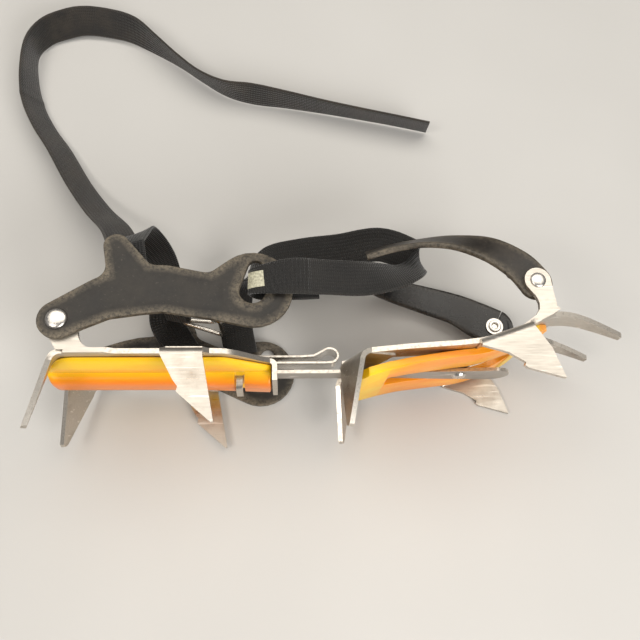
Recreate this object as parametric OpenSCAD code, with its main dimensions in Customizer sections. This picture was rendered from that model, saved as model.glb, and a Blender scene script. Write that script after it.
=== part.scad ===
// Ten-point strap crampon, lying on its side.
// Working axes: x along the sole towards the toe, y up towards the boot, z across the sole.
// The boot sole rests on the plane y = 0, and z = 0 is the middle of the crampon.

/* [Steel frames] */
// Thickness of the frame steel
steel_t = 2.5; // [2:0.1:2.8]
// Width of the heel frame across its front points
heel_w = 80.5; // [79:0.5:82]
// Width of the toe frame across its second points
toe_w = 87; // [86:0.5:88]
// How far the point tips reach below the sole
point_drop = 36; // [30:0.5:38]
// Outer radius of the bends in the sheet
bend_r = 4.2; // [3.5:0.1:4.5]
// Outer radius of the bends of the four corner points
corner_r = 6.4; // [5:0.1:7]

/* [Linking bar] */
// Thickness of the bar
bar_t = 1.8; // [1.5:0.1:1.8]
// Width of the bar between the sections
bar_w = 11; // [9:0.5:11.5]
// Distance from one adjusting hole to the next
hole_pitch = 7; // [6:0.5:8]

/* [Rivets] */
// Radius of a rivet shank
shank_r = 2.5; // [2:0.1:2.6]
// Radius of a rivet head
head_r = 5; // [4.5:0.1:5.5]

/* [Harness] */
// Thickness of the moulded heel arms and toe straps
mould_t = 3; // [2.5:0.1:3]
// Width of the webbing
web_w = 19; // [17:0.5:20]
// Thickness of the webbing
web_t = 1.6; // [1.2:0.1:1.8]

/* [Hidden] */
$fn = 40;

// Middle of the part's box without the tail, and its height above the floor
centre = [6.9, 21.9];
mid_z = 43.7;

big = 200;
gap = 0.3;
heel_half = heel_w / 2;
toe_half = toe_w / 2;
// The posts stand inside the line of the points
heel_post_z = 37;
toe_post_z = 39;
heel_pivot = [-124.5, 12.8];
toe_pivot = [106.3, 33.5];
// The far heel arm hangs lower than the near one
far_arm_turn = -14.5;
// Frame underside, and the level of the bar below it
under = -steel_t;
bar_top = under - 0.4;
lever_end = -74;
lever_rivet_x = -70;
pin_x = -32;
// Where the buckle rings hang on their keeper, and the distance from one ring's bar to the other's
buckle = [-78, 35.6, -18];
bar_step = 3.4;
wire_r = 1.4;

function unit(v) = v / norm(v);

// Catmull-Rom curve through rows of numbers, with n steps from one row to the next
function curve(p, n) = let (m = len(p) - 1) concat(
    [for (i = [0:m - 1], k = [0:n - 1])
        let (t = k / n, a = p[max(i - 1, 0)], b = p[i], c = p[i + 1], d = p[min(i + 2, m)])
        b + (c - a) * t / 2 + (2 * a - 5 * b + 4 * c - d) * t * t / 2
            + (3 * b - a - 3 * c + d) * t * t * t / 2],
    [p[m]]);

// Outline of a sheet of thickness t whose upper side follows path
function sheet(path, t) = let (
    n = len(path) - 1,
    lower = [for (i = [0:n])
        let (d = unit(path[min(i + 1, n)] - path[max(i - 1, 0)])) path[i] + t * [d.y, -d.x]])
    concat(path, [for (i = [n:-1:0]) lower[i]]);

module place() translate([-centre.x, -centre.y, mid_z]) children();

// A flat shape drawn in x and z, from level y down to y - t
module flat(y, t) translate([0, y, 0]) rotate([90, 0, 0]) linear_extrude(t) children();

// A shape drawn in x and y, between two distances from the middle, on the near or the far side
module side(z0, z1, s = 1) translate([0, 0, s > 0 ? z0 : -z1]) linear_extrude(z1 - z0) children();

module both_sides() {
    children();
    mirror([0, 0, 1]) children();
}

// Outline drawn from its half with y above 0
module half_outline(points) polygon(concat(points,
    [for (i = [len(points) - 1:-1:0]) if (points[i].y > 0) [points[i].x, -points[i].y]]));

module slot2d(x0, x1, w, r) {
    offset(r) translate([x0 + r, -w / 2 + r]) square([x1 - x0 - 2 * r, w - 2 * r]);
}

// Sheet that runs outwards at y = 0 and turns down, with its outer face at z = half.
// lean is how far the turned-down part leans outwards; it is drawn from x = 0 to x = l
module turned_edge(l, half, drop, lean = 0, r = bend_r) {
    last = 90 - lean;
    turn = [for (a = [0:last / 6:last]) [half - r + r * sin(a), -r + r * cos(a)]];
    down = turn[6] + drop * [sin(lean), -cos(lean)];
    path = concat([[half - 3 * r, 0]], turn, [down]);
    rotate([0, -90, 0]) mirror([0, 0, 1]) linear_extrude(l)
        polygon(sheet(path, steel_t));
}

// One of the four points at the corners, bent down across a slanting edge
module corner_point(x, z, lean) {
    w = 22;
    slant = 69.5;
    translate([x, 0, z]) rotate([0, -slant, 0]) intersection() {
        translate([-w / 2, 0, 0]) turned_edge(w, 0, point_drop / cos(lean), lean, corner_r);
        linear_extrude(big, center = true)
            polygon([[-w / 2, 1], [w / 2, 1], [w / 2, -corner_r], [1.6, 1 - point_drop],
                [0, -point_drop], [-1.6, 1 - point_drop], [-w / 2, -corner_r]]);
    }
}

module heel_plan() difference() {
    half_outline([[-133.5, 0], [-134.4, 13.2], [-129.9, 14.4], [-122.4, 34.6],
        [-121, 37], [-102, 37],
        [-98, 35], [-77, 35], [-74, 38], [-57, 38], [-54, 35], [-47, 34.5], [-41, 31],
        [-31, 21.5], [-26, 18], [-25, 0]]);
    slot2d(-119, -86, 52, 6);
    slot2d(-66, -43, 44, 6);
}

module heel_front_point() intersection() {
    translate([-80, 0, 0]) turned_edge(30, heel_half, point_drop);
    linear_extrude(big) polygon([[-77, 1], [-56.6, 1], [-56.6, -5], [-50.6, 0.6 - point_drop],
        [-51.6, -point_drop], [-67.8, -21.9], [-67.2, -19.5], [-69.5, -16.5], [-76, -4.5]]);
}

module heel_post() {
    side(heel_post_z - steel_t, heel_post_z) difference() {
        hull() {
            translate(heel_pivot) circle(7.4);
            translate([-124.4, -1]) square([9.6, 1]);
        }
        translate(heel_pivot) circle(shank_r);
    }
    // Web that widens the foot of the post along the rail
    side(heel_post_z - steel_t, heel_post_z) difference() {
        translate([-117, -1]) square([9, 9]);
        translate([-107.6, 8]) scale([0.93, 1.05]) circle(8);
        translate([-108, -2]) square(11);
    }
}

module heel_frame() color("silver") place() {
    difference() {
        union() {
            flat(0, steel_t) heel_plan();
            // Front edge turned down in front of the antiball plate
            side(-17, 17) polygon(sheet(concat(
                [for (a = [0:15:90]) [-26 + 3.6 * sin(a), -3.6 + 3.6 * cos(a)]],
                [[-22.4, -11]]), steel_t));
            both_sides() {
                corner_point(-132, 27, 13);
                heel_front_point();
                heel_post();
            }
        }
        // The rear window stays clear of the corner points' flats
        flat(1, steel_t + 2) slot2d(-119, -86, 52, 6);
        // Way through the front edge for the bar, and the holes for the pin and the lever's rivet
        translate([-30, bar_top - bar_t - gap, -bar_w / 2 - gap])
            cube([12, bar_t + 2 * gap, bar_w + 2 * gap]);
        translate([pin_x, 1, 0]) rotate([90, 0, 0]) cylinder(r = 2.5, h = 5);
        translate([lever_rivet_x, 1, 0]) rotate([90, 0, 0]) cylinder(r = 2.3, h = 5);
    }
}

// Shallow plate under the heel, with a housing along the middle for the bar
module heel_antiball_plate() color("orange") place() difference() {
    union() {
        intersection() {
            translate([-139, 0, 0]) rotate([90, 0, 90]) linear_extrude(116)
                polygon([[under - 0.3, 29], [under - 1.7, 30], [under - 2.6, 28.5],
                    [-5.9, 20], [-5.9, 9], [-5.9, -9], [-5.9, -20], [under - 2.6, -28.5],
                    [under - 1.7, -30], [under - 0.3, -29]]);
            flat(under - 0.1, 20) half_outline([[-136, 0], [-136, 11], [-128.5, 20.5],
                [-124, 30], [-60, 30], [-47, 30], [-30, 18], [-25.4, 14], [-25.4, 0]]);
        }
        intersection() {
            flat(-5, 8) slot2d(-139.5, -25.4, 17, 5);
            translate([0, 0, -20]) linear_extrude(40) polygon([[-140, 0], [-139.5, -7.5],
                [-134, -10.3], [-60, -10.6], [-25, -12.4], [-25, 0]]);
        }
    }
    flat(under - 0.05, 6.2) slot2d(-110, -6, bar_w + 2, 2);
    flat(under, 20) translate([-44, -10]) square([5, 20]);
}

// Steel hook that holds the front of the antiball plate through its slot
module plate_clip() color("gray") place() {
    path = [[-14.8, -3], [-14.2, 4], [-13, 6.6], [-11, 7.6], [under, 7.6]];
    translate([-43.2, 0, 0]) rotate([90, 0, 90]) linear_extrude(3.4)
        polygon(sheet(path, 1.2));
}

// Flat spring folded back on itself, with a round finger grip at its front
module adjuster_lever() color("lightgray") place() {
    grip = [for (a = [-80:16:150]) [4.6 + 3.9 * cos(a), 4.8 + 3.3 * sin(a)]];
    path = concat([[lever_end, 1.4], [grip[0].x - 4, 1.4]], grip,
        [[-3.5, 4.2], [-10, 3.7], [-40, 3.7]]);
    difference() {
        side(-6, 6) polygon(sheet(path, 1));
        translate([lever_rivet_x, 3, 0]) rotate([90, 0, 0]) cylinder(r = 1.5, h = 5);
        translate([pin_x, 2, 0]) rotate([90, 0, 0]) cylinder(r = 1.2, h = 3);
    }
}

module adjuster_pin() color("silver") place() translate([pin_x, 0, 0]) rotate([90, 0, 0])
    rotate_extrude() polygon([[0, -2.2], [1.2, -2.2], [1.2, -0.4], [1.9, -0.4],
        [1.9, 1.8], [1.2, 2.5], [0, 2.5]]);

module lever_rivet() color("silver") place() translate([lever_rivet_x, 0, 0])
    rotate([90, 0, 0]) rotate_extrude()
        polygon([[0, -2.9], [2, -2.7], [3, -1.4], [1.5, -1.4], [1.5, 2.3], [0, 2.3]]);

// Upper side of the toe frame, seen from the side: flat, then rising to the front points
toe_line = concat([[8, -0.4]], curve([[66, 2.6], [76, 3.8], [86, 6.4], [96, 10.2],
    [104, 14.6], [111, 18.8], [118, 20.8], [126, 20.8], [134, 19], [144, 15.2], [153.4, 11]], 3));

module toe_plan() difference() {
    union() {
        half_outline([[10.5, 0], [10.4, 12.6], [15, 13.8], [22.9, 34.6], [40, 37.5],
            [70, 39.5], [100, 40], [109, 37.5], [116, 29.5], [120, 13], [119, 0]]);
        both_sides_2d() polygon([[108, 29.5], [117, 28.6], [132, 26.2], [152.6, 22.6],
            [153.3, 20.5], [152.6, 18.4], [133, 15.2], [122, 12], [112, 10]]);
    }
    slot2d(27, 62, 48, 7);
    slot2d(81, 101, 44, 6);
}

module both_sides_2d() {
    children();
    mirror([0, 1]) children();
}

// The second point hangs from the rising part of the edge
module toe_second_point() intersection() {
    translate([66, 0.1, 0]) rotate([0, 0, 18.6]) turned_edge(38, toe_half, 40);
    linear_extrude(big) polygon([[74, 4], [100, 13.5], [100.4, 8], [116.2, -17.2],
        [115.6, -18.2], [94.2, -12.2], [93, -11], [93.6, -9.6], [86, -4.8], [74, -1.2]]);
}

module toe_post() {
    side(toe_post_z - steel_t, toe_post_z) difference() {
        union() {
            hull() {
                translate(toe_pivot) circle(6.6);
                translate([103.6, 26]) square([9.8, 1]);
            }
            polygon([[95, 9.5], [99.5, 12.6], [103.4, 15.4], [105.4, 18.4], [105.6, 21.4],
                [104.8, 24.2], [103.2, 27], [113.4, 27], [114, 23], [114.2, 20], [115.8, 18.5],
                [112, 16], [104, 12], [97, 7.5]]);
        }
        translate(toe_pivot) circle(shank_r);
    }
    // Shelf that joins the post to the front of the frame
    intersection() {
        side(28, toe_post_z) polygon(sheet(toe_line, steel_t));
        flat(40, 60) polygon([[96, 28], [97, 39], [113.5, 39], [117, 28]]);
    }
}

module toe_frame() color("silver") place() {
    intersection() {
        side(-45, 45) polygon(sheet(toe_line, steel_t));
        flat(40, 60) toe_plan();
    }
    both_sides() {
        corner_point(13, 26.5, 4);
        toe_second_point();
        toe_post();
    }
}

// Thin plate under the toe frame. It hangs free at the back and the bar comes out through it
module toe_antiball_plate() color("orange") place() difference() {
    upper = concat([[13.5, -9.4], [20, -8.1], [32, -5.1], [44, -3]],
        [for (p = toe_line) if (p.x > 50 && p.x < 119) p + [0.5, under - 0.2]]);
    intersection() {
        side(-40, 40) polygon(sheet(upper, 3.2));
        flat(40, 60) half_outline([[14, 0], [14, 18], [22, 28], [60, 31.6], [96, 31.8],
            [108, 26], [117, 16], [117, 0]]);
    }
    // Recess for the bar
    flat(40, 60) hull() {
        translate([34, -7.4]) square([1, 14.8]);
        translate([91, 0]) circle(10);
    }
}

// The bar is fixed under the toe frame and slides under the heel frame
module linking_bar() color("silver") place() difference() {
    flat(bar_top, bar_t) {
        translate([-62, -bar_w / 2]) square([98, bar_w]);
        hull() {
            translate([35, -bar_w / 2]) square([1, bar_w]);
            translate([90.5, 0]) circle(9);
        }
    }
    for (k = [0:3]) translate([pin_x - 14 + k * hole_pitch, 0, 0]) rotate([90, 0, 0])
        cylinder(r = 2.3, h = 8);
    translate([73, 0, 0]) rotate([90, 0, 0]) cylinder(r = 2.2, h = 8);
}

module bar_rivet() color("silver") place() translate([73, bar_top, 0]) rotate([90, 0, 0])
    rotate_extrude() polygon([[0, 0], [2.2, 0], [2.2, bar_t], [4, bar_t], [3, bar_t + 1.3],
        [0, bar_t + 1.7]]);

// Rivet along z: head outside at z1, shank in to z0 and a small closed end
module rivet(pivot, z0, z1, s, r = head_r) place() translate([pivot.x, pivot.y, 0])
    mirror([0, 0, s > 0 ? 0 : 1]) rotate_extrude() polygon([[0, z0 - 1.2], [3, z0 - 1],
        [3.8, z0], [shank_r, z0], [shank_r, z1], [r, z1], [r - 0.2, z1 + 0.14 * r],
        [r * 0.7, z1 + 0.28 * r], [r * 0.35, z1 + 0.34 * r], [0, z1 + 0.36 * r]]);

heel_arm_z0 = heel_post_z + 0.1;
heel_arm_z1 = heel_arm_z0 + mould_t;
toe_strap_z1 = toe_post_z - steel_t - 0.1;
toe_strap_z0 = toe_strap_z1 - mould_t;
washer_t = 0.8;

module heel_rivet_near() color("silver")
    rivet(heel_pivot, heel_post_z - steel_t, heel_arm_z1 + 0.1, 1);
module heel_rivet_far() color("silver")
    rivet(heel_pivot, heel_post_z - steel_t, heel_arm_z1 + 0.1, -1);
module toe_rivet_near() color("silver")
    rivet(toe_pivot, toe_strap_z0 - washer_t - 0.1, toe_post_z, 1, 3.9);
module toe_rivet_far() color("silver")
    rivet(toe_pivot, toe_strap_z0 - washer_t - 0.1, toe_post_z, -1, 3.9);

module toe_washer(s) color("silver") place() side(toe_strap_z0 - washer_t - 0.1,
    toe_strap_z0 - 0.1, s) translate(toe_pivot) difference() {
        circle(5.2);
        circle(shank_r);
    }
module toe_washer_near() toe_washer(1);
module toe_washer_far() toe_washer(-1);

// Moulded heel arm: an eye at the rivet, a body, a branch for the heel strap, and a ring
module arm_outline(branch_root, branch_tip) {
    module link(a, ra, b, rb) hull() {
        translate(a) circle(ra, $fn = 28);
        translate(b) circle(rb, $fn = 28);
    }
    difference() {
        offset(-7) offset(7) {
            link([0, 0], 9.2, [20, 11], 10.5);
            link([20, 11], 10.5, [36, 16], 12.5);
            link([36, 16], 12.5, [48, 17], 12);
            link([48, 17], 12, [72, 13.5], 11.5);
            link([72, 13.5], 11.5, [90.5, 18], 19.4);
            link(branch_root, 11.5, branch_tip, 6.2);
        }
        link([90, 17], 6.5, [91.5, 29], 4);
    }
}

// The arm's thickness, seen along y: it leaves the post flat and runs in towards the boot
module heel_arm(path, branch_root, branch_tip, turn, s) color("dimgray") place() difference() {
    intersection() {
        translate([heel_pivot.x, heel_pivot.y, 0]) rotate([0, 0, turn])
            linear_extrude(big, center = true) arm_outline(branch_root, branch_tip);
        flat(100, 200) scale([1, s]) polygon(sheet(path, mould_t));
    }
    translate([heel_pivot.x, heel_pivot.y, -60]) cylinder(r = shank_r + 0.06, h = 120);
}
module heel_arm_near() heel_arm([[-140, heel_arm_z1], [-112, heel_arm_z1], [-92, 38],
    [-60, 35], [0, 31]], [33, 20], [24.2, 38.2], 0, 1);
module heel_arm_far() heel_arm([[-140, heel_arm_z1], [-112, heel_arm_z1],
    [-98, mid_z - 0.1], [0, mid_z - 0.1]], [38, 17], [41, 30], far_arm_turn, -1);

// A strip swept along rows of [x, y, z, direction of its width (x, y, z), width].
// The section is a thin rectangle with its corners taken off
module strip(rows, t, n) {
    p = curve(rows, n);
    last = len(p) - 1;
    section = [[1, 0.4], [0.9, 1], [-0.9, 1], [-1, 0.4], [-1, -0.4], [-0.9, -1], [0.9, -1],
        [1, -0.4]];
    points = [for (i = [0:last]) let (
        a = p[max(i - 1, 0)], b = p[min(i + 1, last)],
        along = unit([b[0] - a[0], b[1] - a[1], b[2] - a[2]]),
        across = [p[i][3], p[i][4], p[i][5]],
        face = unit(cross(along, across)),
        edge = cross(face, along))
        for (c = section)
            [p[i][0], p[i][1], p[i][2]] + edge * c.x * p[i][6] / 2 + face * c.y * t / 2];
    faces = concat(
        [[for (k = [0:7]) k], [for (k = [7:-1:0]) last * 8 + k]],
        [for (i = [0:last - 1], k = [0:7]) [i * 8 + k, i * 8 + 8 + k, i * 8 + (k + 1) % 8]],
        [for (i = [0:last - 1], k = [0:7]) let (m = (k + 1) % 8)
            [i * 8 + 8 + k, i * 8 + 8 + m, i * 8 + m]]);
    polyhedron(points, faces, convexity = 8);
}

// The heel strap runs from the near arm's branch over the top and down to the far arm's branch
module heel_strap() color("black") place() strip([
    [-97, 46, 29, 0.7, 0.7, 0, web_w], [-98, 57, 27, 0.8, 0.6, 0, web_w],
    [-94.5, 68, 16, 0.8, 0.4, -0.2, 17.5], [-86.7, 64, -6, 0.8, 0.5, 0, 15.5],
    [-86, 51, -24, 0.8, 0.5, 0, web_w], [-88, 38, -34, 0.85, 0.4, 0, web_w],
    [-83, 28.5, -37, 0.9, 0.3, 0, web_w], [-77, 19, -38.7, 0.9, 0.3, 0, web_w]], web_t, 4);

// Wire ring: one bar turns in the keeper, and the ring reaches away from it at an angle
module buckle_ring(offset_x, long, reach, turn) color("silver") place()
    translate([buckle.x + offset_x, buckle.y, buckle.z]) rotate([0, 0, turn]) {
        for (z = [-long / 2, long / 2]) translate([0, 0, z]) rotate([0, 90, 0])
            cylinder(r = wire_r, h = reach);
        for (x = [0, reach]) translate([x, 0, -long / 2]) cylinder(r = wire_r, h = long);
        for (x = [0, reach], z = [-long / 2, long / 2]) translate([x, 0, z]) sphere(wire_r);
    }
module buckle_ring_wide() buckle_ring(0, 25.4, 25.4, -18);
module buckle_ring_narrow() buckle_ring(bar_step, 19, 16.4, -4);

// Sewn loop that holds the two rings to the end of the heel strap
module buckle_keeper() color("black") place() translate(buckle) difference() {
    union() {
        translate([0, 0, -7]) linear_extrude(14) hull() {
            circle(2.6);
            translate([bar_step, 0]) circle(2.6);
        }
        translate([0, 0, -13]) linear_extrude(20) polygon([[-9, 1], [-7.5, 5.5], [-1, 3],
            [-1, -0.5]]);
    }
    for (x = [0, bar_step]) translate([x, 0, -20]) cylinder(r = wire_r + 0.05, h = 40);
}

// Moulded toe straps, from the rivets at the front to the loops that hold the webbing
module toe_strap_near() color("dimgray") place() difference() {
    strip([
        [109, 25.5, 34.9, -0.85, -0.55, 0, 13], [105.5, 33, 34.9, -0.85, -0.5, 0, 18],
        [98, 44, 34.5, -0.7, -0.7, 0, 17], [86, 53.5, 31.5, -0.35, -0.9, 0.25, 16],
        [70, 59.5, 27, -0.1, -0.75, 0.65, 14], [54, 61.5, 22, 0, -0.55, 0.83, 14],
        [38, 60.5, 17, 0, -0.5, 0.86, 15], [25, 57.5, 14, 0, -0.5, 0.86, 15]], mould_t, 3);
    translate([toe_pivot.x, toe_pivot.y, 20]) cylinder(r = shank_r + 0.06, h = 30);
}
module toe_strap_far() color("dimgray") place() difference() {
    strip([
        [117, 28.1, -34.9, 0.45, 0.89, 0, 8], [114.6, 29.3, -34.9, 0.45, 0.89, 0, 16],
        [111, 31.1, -34.9, 0.45, 0.89, 0, 21.5], [106.3, 33.5, -34.9, 0.45, 0.89, 0, 23.5],
        [96, 38.7, -35, 0.45, 0.89, 0, 22.5], [84, 45.5, -36, 0.45, 0.89, 0, 19.5],
        [66, 52, -37.5, 0.3, 0.95, 0, 17.5], [46, 55, -34, 0.2, 0.95, 0.1, 16],
        [30, 54, -27, 0.1, 0.95, 0.2, 16]], mould_t, 3);
    translate([toe_pivot.x, toe_pivot.y, -50]) cylinder(r = shank_r + 0.06, h = 30);
}

// Instep webbing: sewn round the rim of the near ring, and back to the far ring
module instep_webbing_front() color("black") place() strip([
    [-2, 38, 25.5, 0, 1, 0, web_w], [-14, 37, 26.5, 0, 1, 0, web_w],
    [-30, 34.8, 26.9, 0, 1, 0, 15], [-36, 34.8, 31.4, 0, 1, 0, 13],
    [-30, 34.8, 35.9, 0, 1, 0, 15], [-14, 37, 35, 0, 1, 0, web_w],
    [2, 38.5, 30, 0, 1, 0, web_w], [20, 39.5, 26, 0, 1, 0, web_w],
    [37, 42.6, 22, -0.1, 0.9, -0.42, web_w], [46.5, 46.5, 18.5, -0.2, 0.8, -0.55, 16],
    [51.4, 51, 14.9, -0.2, 0.9, -0.38, 12.5]], web_t, 3);
module instep_webbing_back() color("black") place() strip([
    [54, 57.5, 9, -0.15, 0.95, -0.1, 14], [50.5, 63, 4.5, -0.15, 0.97, 0.1, 18],
    [34, 71, 0, 0, 0.9, 0.4, web_w], [12, 69, -4, 0, 0.9, 0.4, web_w],
    [-10, 68, -8, 0.1, 0.9, 0.3, web_w], [-30, 65, -13, 0.4, 0.85, 0.1, web_w],
    [-44, 53, -22, 0.7, 0.7, 0, web_w], [-47, 36, -31, 0.9, 0.4, 0, web_w],
    [-44, 18, -38, 0.95, 0.3, 0, web_w]], web_t, 3);

// Loose end of the heel strap: the route of its middle, with heights above the floor, and how
// far it stands on its edge there (0 is flat, 90 is on edge)
tail_route = [[-100.5, 55, 48], [-108, 70.5, 40], [-116.5, 87, 30], [-130.5, 104, 20],
    [-146, 126, 13], [-161.5, 152, 10.2], [-173, 169, 9.8], [-182, 187, 10], [-187, 208, 10.6],
    [-188, 230, 11], [-181, 244, 10.5], [-170, 252, 9.5], [-156, 256, 9.5], [-138, 254, 9.5],
    [-122, 248, 10.5], [-106, 236, 11], [-90, 223, 11], [-74, 210, 11], [-58, 201, 11],
    [-40, 197, 11], [-18, 193, 11], [6, 188, 11], [30, 183, 11], [54, 178, 11], [76, 173, 11]];
tail_edge = [34, 36, 38, 42, 45, 48, 52, 58, 70, 80, 70, 54, 46, 50, 62, 84, 100, 104, 96, 84,
    92, 100, 104, 106, 106];
module webbing_tail() color("black") place() translate([0, 0, -mid_z]) {
    last = len(tail_route) - 1;
    rows = [for (i = [0:last]) let (
        along = unit(tail_route[min(i + 1, last)] - tail_route[max(i - 1, 0)]),
        level = unit(cross([0, 0, 1], along)),
        across = level * cos(tail_edge[i]) + [0, 0, 1] * sin(tail_edge[i]))
        [tail_route[i].x, tail_route[i].y, tail_route[i].z, across.x, across.y, across.z,
            web_w]];
    strip(rows, web_t, 3);
}

heel_frame();
heel_antiball_plate();
plate_clip();
adjuster_lever();
adjuster_pin();
lever_rivet();
toe_frame();
toe_antiball_plate();
linking_bar();
bar_rivet();
heel_rivet_near();
heel_rivet_far();
toe_rivet_near();
toe_rivet_far();
toe_washer_near();
toe_washer_far();
heel_arm_near();
heel_arm_far();
heel_strap();
buckle_keeper();
buckle_ring_wide();
buckle_ring_narrow();
toe_strap_near();
toe_strap_far();
instep_webbing_front();
instep_webbing_back();
webbing_tail();
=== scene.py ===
"""Strap crampon lying on its side on a pale floor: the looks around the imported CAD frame."""
import math

import bmesh
import bpy
import numpy as np
from mathutils import Matrix, Vector


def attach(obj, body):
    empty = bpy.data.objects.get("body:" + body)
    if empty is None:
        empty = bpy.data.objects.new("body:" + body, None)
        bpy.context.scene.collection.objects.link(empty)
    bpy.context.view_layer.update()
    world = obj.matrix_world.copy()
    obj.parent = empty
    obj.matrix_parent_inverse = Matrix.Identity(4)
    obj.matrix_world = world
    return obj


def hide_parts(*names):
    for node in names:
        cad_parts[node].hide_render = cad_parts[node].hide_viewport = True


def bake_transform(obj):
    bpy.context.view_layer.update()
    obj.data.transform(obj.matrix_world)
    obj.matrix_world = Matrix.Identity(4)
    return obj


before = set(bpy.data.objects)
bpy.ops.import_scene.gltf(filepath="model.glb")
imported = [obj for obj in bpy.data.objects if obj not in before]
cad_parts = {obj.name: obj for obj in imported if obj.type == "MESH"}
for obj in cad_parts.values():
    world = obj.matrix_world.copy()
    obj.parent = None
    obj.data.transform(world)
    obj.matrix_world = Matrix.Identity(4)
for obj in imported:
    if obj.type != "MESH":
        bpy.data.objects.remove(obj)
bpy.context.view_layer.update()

MM = 0.001

# The crampon's working axes are those of part.scad: x along the sole, y towards the boot and
# s across the sole from its middle, in millimetres
CENTRE_X = 6.9
CENTRE_Y = 21.9
MID_Z = 43.7
HEEL_PIVOT = (-124.5, 12.8)
TOE_PIVOT = (106.3, 33.5)
WEB_WIDTH = 19.0
WEB_THICK = 1.6
MOULD_THICK = 3.0
WIRE_R = 1.4
GRID_STEP = 1.6     # spacing of the vertices that carry relief on flat mouldings

# The photograph's view: the camera's own right and up, and where it stands, in millimetres
CAMERA_RIGHT = (0.9986, -0.0174, 0.0500)
CAMERA_UP = (0.0, 0.9444, 0.3287)
CAMERA_AT = (-25.4, -112.2, 378.3)
SENSOR_WIDTH = 36.0
LENS = 37.125

# Each light: its place and what it points at, size, power and colour
LIGHTS = {
    "key_light": ((0.0, 0.42, 1.0), (0, 0.02, 0.03), (1.7, 0.8), 9.8, (1, 0.95, 0.87)),
    "side_light": ((-0.6, -0.38, 0.95), (0, 0, 0.03), (0.4, 0.3), 3.6, (1, 0.95, 0.88)),
    "fill_light": ((0.6, -0.9, 0.7), (0, 0, 0.03), (0.7, 0.6), 12, (1, 0.98, 0.95)),
}
SKY_COLOUR = (0.72, 0.72, 0.73, 1)
SKY_STRENGTH = 0.26
FLOOR_HALF = 3.0


def place(x, y, s):
    """A point in the working axes, as metres in the row frame."""
    return Vector(((x - CENTRE_X) * MM, (y - CENTRE_Y) * MM, (s + MID_Z) * MM))


def smooth_step(t):
    t = np.clip(t, 0.0, 1.0)
    return t * t * (3 - 2 * t)


# ---------------------------------------------------------------- camera, light and floor

def make_camera():
    data = bpy.data.cameras.new("camera")
    data.sensor_width = SENSOR_WIDTH
    data.lens = LENS
    camera = bpy.data.objects.new("camera", data)
    bpy.context.scene.collection.objects.link(camera)
    right = Vector(CAMERA_RIGHT).normalized()
    up = Vector(CAMERA_UP).normalized()
    back = right.cross(up).normalized()
    matrix = Matrix((right, up, back)).transposed().to_4x4()
    matrix.translation = Vector(CAMERA_AT) * MM
    camera.matrix_world = matrix
    bpy.context.scene.camera = camera


def area_light(name, location, target, size, power, colour):
    data = bpy.data.lights.new(name, "AREA")
    data.shape = "RECTANGLE"
    data.size, data.size_y = size
    data.energy = power
    data.color = colour
    lamp = bpy.data.objects.new(name, data)
    bpy.context.scene.collection.objects.link(lamp)
    lamp.location = location
    aim = Vector(target) - Vector(location)
    lamp.rotation_euler = aim.to_track_quat("-Z", "Y").to_euler()


def make_lights():
    for name, settings in LIGHTS.items():
        area_light(name, *settings)
    world = bpy.data.worlds.new("studio")
    world.use_nodes = True
    background = world.node_tree.nodes["Background"]
    background.inputs["Color"].default_value = SKY_COLOUR
    background.inputs["Strength"].default_value = SKY_STRENGTH
    bpy.context.scene.world = world
    bpy.context.scene.view_settings.view_transform = "Standard"


# ---------------------------------------------------------------- materials

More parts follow.
